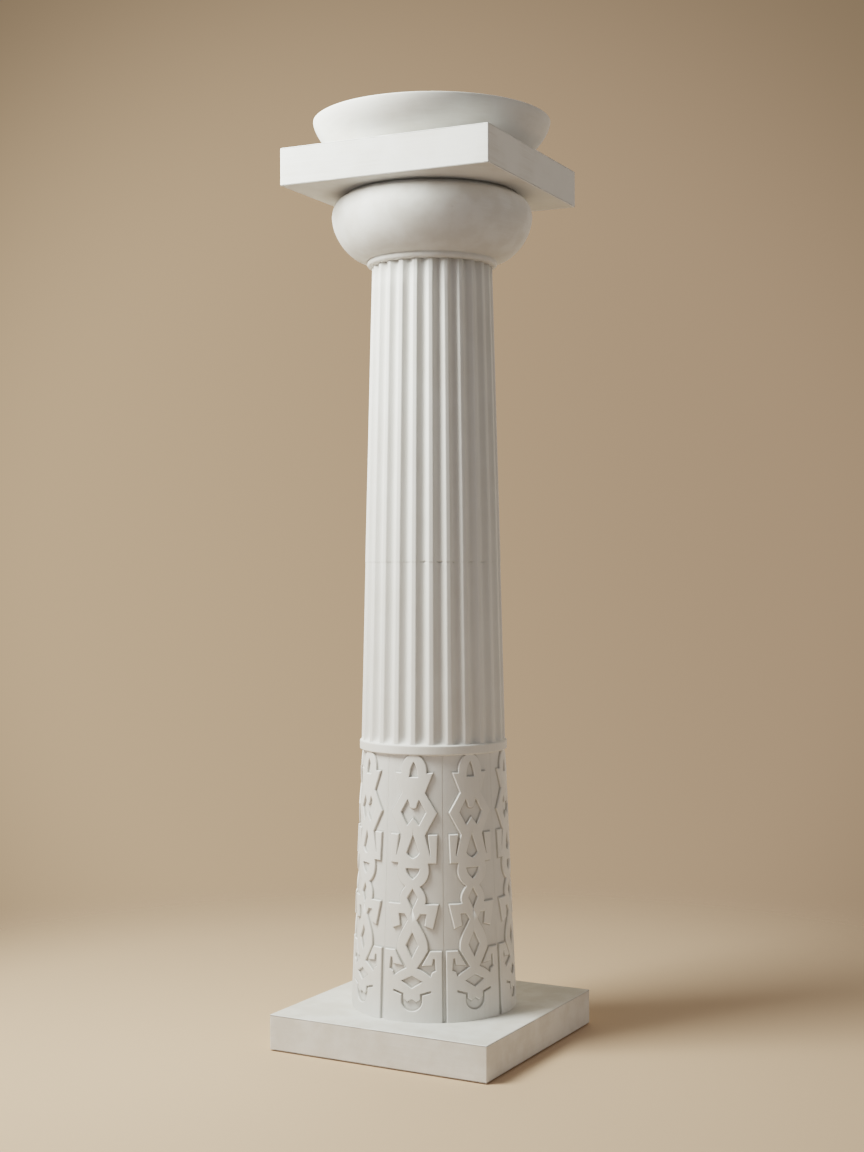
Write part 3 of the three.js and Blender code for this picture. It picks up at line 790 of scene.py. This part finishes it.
fluting = {
    "Flutes": FLUTES, "Turn": radians(FLUTE_TURN), "Depth": FLUTE_DEPTH * MM, "Fillet share": FILLET_SHARE,
    "Joint height": joint * MM, "Scoop foot": ring_top * MM, "Scoop height": FLUTE_SCOOP * MM,
    "Material": shaft_paint,
}
lower_shaft = finished("fluted_lower_shaft", made_by_nodes("lower_flutes", lower_blank, flutes, fluting),
                       shaft_paint)
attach(lower_shaft, "root")
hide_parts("lower_shaft")

# Upper shaft
# The upper length of the fluted shaft. It stands on the lower one, and their flutes run on across
# a hairline joint. Its flutes pass straight up under the ring of the capital.
UPPER_FOOT_RADIUS = 171.7
UPPER_HEAD_RADIUS = 152.1
UPPER_PLAIN_ROWS = 12

shaft_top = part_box("upper_shaft")[1].z / MM
upper_rows = [
    *np.linspace(joint + JOINT_EASE, joint + JOINT_REACH, JOINT_ROWS),
    *np.linspace(joint + JOINT_REACH, shaft_top, UPPER_PLAIN_ROWS)[1:],
]
upper_profile = [
    (UPPER_FOOT_RADIUS - JOINT_EASE, joint),
    *taper((UPPER_FOOT_RADIUS, joint), (UPPER_HEAD_RADIUS, shaft_top), upper_rows),
]
upper_blank = turned("upper_blank", upper_profile, FLUTES * STEPS_A_FLUTE, FLUTE_TURN)
fluting["Scoop foot"] = 0.0
upper_shaft = finished("fluted_upper_shaft", made_by_nodes("upper_flutes", upper_blank, flutes, fluting),
                       shaft_paint)
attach(upper_shaft, "root")
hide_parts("upper_shaft")

# Echinus
# The cushion of the capital, turned with a full bowl and a rounded shoulder, and cast together
# with the half-round neck ring that caps the shaft. A low sloped seat on top of it carries the
# abacus, and shows as a dark band beneath it. SEAT_SPREAD makes the seat's top wider than the
# solid's, so that some light still reaches that band. Sizes are in millimetres.
NECK_RING_RADIUS = 165
NECK_RING_HEIGHT = 14.5
NECK_RING_STEPS = 11
ECHINUS_FOOT_RADIUS = 164
ECHINUS_RADIUS = 254
ECHINUS_WIDEST = 2077.5
ECHINUS_FULLNESS = 1.74
SHOULDER_RADIUS = 221
SHOULDER_TOP = 2124.5
SHOULDER_FULLNESS = 2
SEAT_RADIUS = 213
SEAT_SPREAD = 5
TURNED_STEPS = 192
BOWL_STEPS = 36
SHOULDER_STEPS = 20


def quarter_round(fullness, steps):
    """Quarter of a rounded outline, as shares of its reach, from straight along to straight out."""
    angles = np.linspace(0, pi / 2, steps + 1)
    return [(sin(a) ** (2 / fullness), max(cos(a), 0) ** (2 / fullness)) for a in angles]


def uneven(mesh, depth, waves):
    """Gives a turned surface the slight unevenness of hand work, in metres and waves a metre."""
    for vertex in mesh.vertices:
        spoke = Vector((vertex.co.x, vertex.co.y, 0))
        if spoke.length > 0.01:
            vertex.co -= spoke.normalized() * depth * (0.5 + 0.5 * noise.noise(vertex.co * waves))
    return mesh


low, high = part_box("echinus")
neck_foot, echinus_top = low.z / MM, high.z / MM
bowl_foot = neck_foot + NECK_RING_HEIGHT
ring_half = NECK_RING_HEIGHT / 2
bowl = [(ECHINUS_FOOT_RADIUS + out * (ECHINUS_RADIUS - ECHINUS_FOOT_RADIUS),
         ECHINUS_WIDEST - along * (ECHINUS_WIDEST - bowl_foot))
        for out, along in quarter_round(ECHINUS_FULLNESS, BOWL_STEPS)]
shoulder = [(SHOULDER_RADIUS + out * (ECHINUS_RADIUS - SHOULDER_RADIUS),
             ECHINUS_WIDEST + along * (SHOULDER_TOP - ECHINUS_WIDEST))
            for out, along in quarter_round(SHOULDER_FULLNESS, SHOULDER_STEPS)]
echinus_profile = [
    *rounded(NECK_RING_RADIUS - ring_half, neck_foot + ring_half, ring_half, -90, 45, NECK_RING_STEPS),
    *bowl,
    *shoulder[-2::-1],
    (SEAT_RADIUS + SEAT_SPREAD, echinus_top),
]
echinus_paint = painted_plaster(
    "echinus paint", grain=(14, 14, 120), streaks=0.3, streak_relief=0.15, clouds=0.5, cloud_scale=18,
    pinholes=0.12, marks={})
echinus_mesh = uneven(turned("echinus_blank", echinus_profile, TURNED_STEPS), depth=0.5 * MM, waves=14)
echinus = finished("cushion_echinus", echinus_mesh, echinus_paint)
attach(echinus, "root")
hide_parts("echinus")

# Abacus
# The square slab on the cushion, cast and brushed as the plinth is. It was set down a little out
# of square with the plinth.
ABACUS_TURN = radians(2.74)

# As on the plinth, the edge mark is a painted highlight along the slab's eased edges.
abacus_paint = painted_plaster(
    "abacus paint", grain=(3, 3, 120), streaks=0.5, streak_relief=0.35, clouds=0.2, cloud_scale=9,
    pinholes=0.04, marks={"edge": (EDGE_HIGHLIGHT_WHITE, 0.9)})
abacus_mesh = hand_cast_slab("abacus", turn=ABACUS_TURN, ripple_depth=0.3 * MM)
abacus = finished("abacus_slab", abacus_mesh, abacus_paint)
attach(abacus, "root")
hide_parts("abacus")

# Crown disc
# A shallow round dish of cast plaster on top of the abacus, with a thin level rim. Its top is
# closed and flat. The points of CROWN_EASE round its upper edge, each given as how far in from the
# rim and how far down from the top it lies. Sizes are in millimetres.
CROWN_FOOT_RADIUS = 211.7
CROWN_RADIUS = 300.5
CROWN_FULLNESS = 1.5
CROWN_EDGE = 2
CROWN_EASE = [(0.4, 0.6), (1.4, 0)]

low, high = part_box("crown_disc")
crown_foot, crown_top = low.z / MM, high.z / MM
rim_foot = crown_top - CROWN_EDGE
flare = [(CROWN_FOOT_RADIUS + out * (CROWN_RADIUS - CROWN_FOOT_RADIUS),
          rim_foot - along * (rim_foot - crown_foot))
         for out, along in quarter_round(CROWN_FULLNESS, BOWL_STEPS)]
crown_profile = [*flare, *((CROWN_RADIUS - inwards, crown_top - down) for inwards, down in CROWN_EASE)]
crown_paint = painted_plaster(
    "crown paint", grain=(14, 14, 150), streaks=0.35, streak_relief=0.15, clouds=0.3, cloud_scale=9,
    pinholes=0.06, marks={})
crown_mesh = uneven(turned("crown_blank", crown_profile, TURNED_STEPS), depth=0.3 * MM, waves=12)
crown = finished("crown_dish", crown_mesh, crown_paint)
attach(crown, "root")
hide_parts("crown_disc")

# Floor and backdrop
# A pale warm floor that fades softly into a plain beige backdrop all round.
FLOOR_RADIUS = 6.0
FLOOR_COLOUR = (0.685, 0.529, 0.411, 1)
FLOOR_FADE_START = 1.3
FLOOR_FADE_END = 2.4

floor_paint = bpy.data.materials.new("floor paint")
floor_paint.use_nodes = True
floor_tree = floor_paint.node_tree
floor_shader = floor_tree.nodes["Principled BSDF"]
floor_shader.inputs["Base Color"].default_value = FLOOR_COLOUR
floor_shader.inputs["Roughness"].default_value = 0.9
floor_shader.inputs["Specular IOR Level"].default_value = 0.1
floor_place = put(floor_tree, "ShaderNodeTexCoord").outputs["Object"]
floor_reach = put(floor_tree, "ShaderNodeVectorMath", {0: floor_place}, operation="LENGTH").outputs["Value"]
floor_fade = share_between(floor_tree, floor_reach, FLOOR_FADE_START, FLOOR_FADE_END)
floor_clear = put(floor_tree, "ShaderNodeBsdfTransparent")
floor_mix = put(floor_tree, "ShaderNodeMixShader", {
    0: floor_fade, 1: floor_shader.outputs[0], 2: floor_clear.outputs[0]})
floor_tree.links.new(floor_mix.outputs[0], floor_tree.nodes["Material Output"].inputs["Surface"])
floor_bm = bmesh.new()
bmesh.ops.create_circle(floor_bm, cap_ends=True, segments=96, radius=FLOOR_RADIUS)
floor_mesh = bpy.data.meshes.new("floor")
floor_bm.to_mesh(floor_mesh)
floor_bm.free()
floor_mesh.materials.append(floor_paint)
floor = bpy.data.objects.new("floor", floor_mesh)
bpy.context.collection.objects.link(floor)

# The backdrop is paler towards the lamp and falls off towards the corners of the picture
BACKDROP_PALE = (0.468, 0.345, 0.238, 1)
BACKDROP_SHADED = (0.33, 0.237, 0.165, 1)
BACKDROP_CORNER = (0.21, 0.155, 0.104, 1)
SHADE_START = -0.1
SHADE_END = -0.65
VIGNETTE_START = cos(radians(12))
VIGNETTE_END = cos(radians(24.5))
KEY_AZIMUTH = CAMERA_AZIMUTH - 68
KEY_DROP = -0.25
GLOW_TIGHTNESS = 4.0
# What the room throws back on the column, each as its azimuth from the camera and its height, in
# degrees, and its colour
ROOM_GLOW = [(-60, 5, (0.84, 0.78, 0.77)), (60, 5, (0.49, 0.46, 0.43)), (120, 5, (0.42, 0.35, 0.30)),
             (180, 5, (1.45, 1.19, 0.86)), (90, -45, (0.08, 0.07, 0.06)), (0, 90, (0.11, 0.13, 0.12))]

world = bpy.data.worlds.new("studio")
bpy.context.scene.world = world
bpy.context.scene.view_settings.view_transform = "Filmic"
bpy.context.scene.view_settings.look = "High Contrast"
world.use_nodes = True
studio = world.node_tree
look = put(studio, "ShaderNodeTexCoord").outputs["Generated"]
lamp_side = (sin(radians(KEY_AZIMUTH)), -cos(radians(KEY_AZIMUTH)), KEY_DROP)
beside_lamp = put(studio, "ShaderNodeVectorMath", {0: look, 1: lamp_side}, operation="DOT_PRODUCT")
away = share_between(studio, beside_lamp.outputs["Value"], SHADE_START, SHADE_END)
plain_wall = put(studio, "ShaderNodeMix", {0: away, 6: BACKDROP_PALE, 7: BACKDROP_SHADED}, data_type="RGBA")
off_middle = put(studio, "ShaderNodeVectorMath", {0: look, 1: forward}, operation="DOT_PRODUCT")
vignette = share_between(studio, off_middle.outputs["Value"], VIGNETTE_START, VIGNETTE_END)
wall = put(studio, "ShaderNodeMix", {0: vignette, 6: plain_wall.outputs[2], 7: BACKDROP_CORNER},
           data_type="RGBA")
backdrop = studio.nodes["Background"]
studio.links.new(wall.outputs[2], backdrop.inputs["Color"])
glow = None
for turn, height, colour in ROOM_GLOW:
    round_column = radians(CAMERA_AZIMUTH + turn)
    level = cos(radians(height))
    towards = (level * sin(round_column), -level * cos(round_column), sin(radians(height)))
    facing = put(studio, "ShaderNodeVectorMath", {0: look, 1: towards}, operation="DOT_PRODUCT")
    towards_glow = reckon(studio, "MAXIMUM", facing.outputs["Value"], 0.0)
    spread = reckon(studio, "POWER", towards_glow, GLOW_TIGHTNESS)
    lit = put(studio, "ShaderNodeVectorMath", {0: colour, "Scale": spread}, operation="SCALE").outputs[0]
    glow = put(studio, "ShaderNodeVectorMath", {0: glow, 1: lit}).outputs[0] if glow else lit
bounce = put(studio, "ShaderNodeBackground", {"Color": glow})
seen = put(studio, "ShaderNodeLightPath").outputs["Is Camera Ray"]
room = put(studio, "ShaderNodeMixShader", {0: seen, 1: bounce.outputs[0], 2: backdrop.outputs[0]})
studio.links.new(room.outputs[0], studio.nodes["World Output"].inputs["Surface"])


# Light
# One large soft lamp high on the left gives the modelling, and the room's bounce fills the rest.
def soft_lamp(name, azimuth, distance, height, aim_height, width, rise, power, colour):
    """An upright soft lamp at an azimuth in degrees round the column, aimed at its axis."""
    data = bpy.data.lights.new(name, "AREA")
    data.shape = "RECTANGLE"
    data.size = width
    data.size_y = rise
    data.energy = power
    data.color = colour
    lamp = bpy.data.objects.new(name, data)
    angle = radians(azimuth)
    place = Vector((distance * sin(angle), -distance * cos(angle), height))
    aim = Vector((0, 0, aim_height)) - place
    lamp.matrix_world = Matrix.Translation(place) @ aim.to_track_quat("-Z", "Y").to_matrix().to_4x4()
    bpy.context.collection.objects.link(lamp)


soft_lamp("key", azimuth=KEY_AZIMUTH, distance=1.8, height=3.0, aim_height=1.4, width=1.0, rise=1.6,
          power=100, colour=(0.98, 1.0, 0.94))
